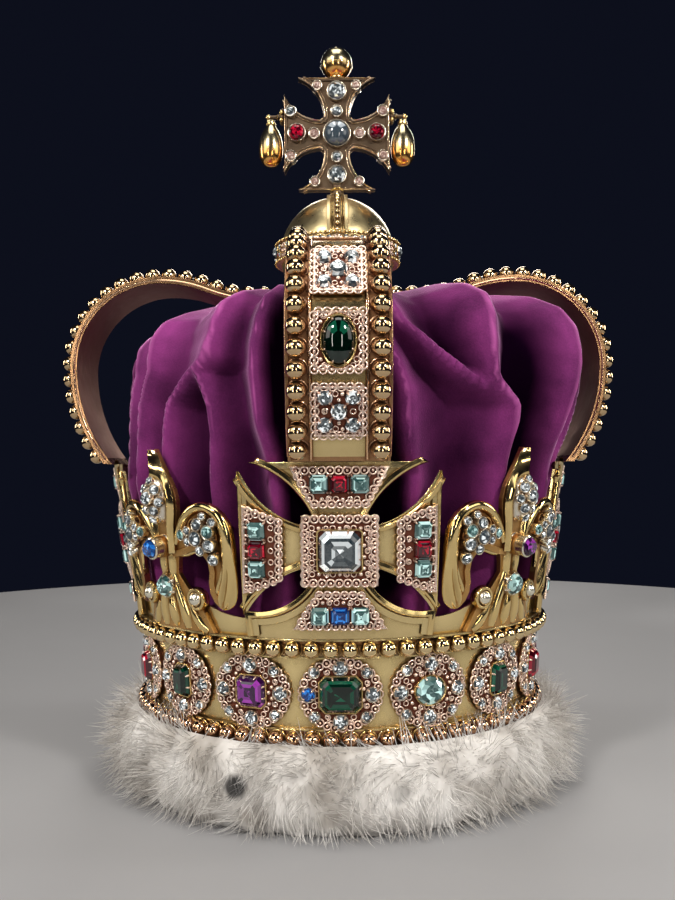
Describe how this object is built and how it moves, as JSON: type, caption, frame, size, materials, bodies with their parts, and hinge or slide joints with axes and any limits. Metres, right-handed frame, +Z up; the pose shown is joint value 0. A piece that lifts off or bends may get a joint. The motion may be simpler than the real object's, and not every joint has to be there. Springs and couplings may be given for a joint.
{
  "type": "arched crown",
  "caption": "Gold crown with crosses and fleurs-de-lis over a jewelled band, crossing beaded arches, an orb with a cross, a folded purple velvet cap and a white fur roll.",
  "frame": {"origin": "centre of the head opening on the surface that the fur roll rests on", "axes": "+Z up through the orb and its cross, the front cross towards -Y, +X to the left-hand side of the wearer"},
  "size_m": [0.2572, 0.2572, 0.3437],
  "materials": {
    "gold": "polished yellow gold",
    "pale_gold": "pale rose-silver filigree, satin",
    "crystal": "clear cut stones",
    "aquamarine": "pale blue cut stones",
    "emerald": "dark green cut stones",
    "ruby": "red cut stones",
    "tourmaline": "pink cut stones",
    "amethyst": "purple cut stones",
    "velvet": "purple velvet, deep folds",
    "fur": "white fur with dark ermine tails"
  },
  "bodies": {
    "root": {"circlet": "gold", "circlet_beads_upper": "gold", "circlet_beads_lower": "gold", "circlet_settings": "pale_gold", "circlet_side_stones": "crystal", "circlet_stone_01": "emerald", "circlet_stone_02": "aquamarine", "circlet_stone_03": "emerald", "circlet_stone_04": "ruby", "circlet_stone_05": "tourmaline", "circlet_stone_06": "amethyst", "circlet_stone_07": "emerald", "circlet_stone_08": "aquamarine", "circlet_stone_09": "emerald", "circlet_stone_10": "amethyst", "circlet_stone_11": "emerald", "circlet_stone_12": "aquamarine", "circlet_stone_13": "tourmaline", "circlet_stone_14": "ruby", "circlet_stone_15": "emerald", "circlet_stone_16": "amethyst", "cross_front": "gold", "cross_right": "gold", "cross_back": "gold", "cross_left": "gold", "cross_stones_front": "aquamarine", "cross_stones_right": "aquamarine", "cross_stones_back": "aquamarine", "cross_stones_left": "aquamarine", "fleur_front_right": "gold", "fleur_back_right": "gold", "fleur_back_left": "gold", "fleur_front_left": "gold", "fleur_stones": "crystal", "arch_front": "gold", "arch_right": "gold", "arch_back": "gold", "arch_left": "gold", "arch_stones_front": "crystal", "arch_stones_right": "crystal", "arch_stones_back": "crystal", "arch_stones_left": "crystal", "arch_crossing": "gold", "orb": "gold", "orb_stones": "crystal", "orb_cross": "gold", "orb_cross_stones": "crystal", "orb_ball": "gold", "pear_drop_left": "gold", "pear_drop_right": "gold", "velvet_cap": "velvet", "fur_trim": "fur"}
  },
  "joints": []
}
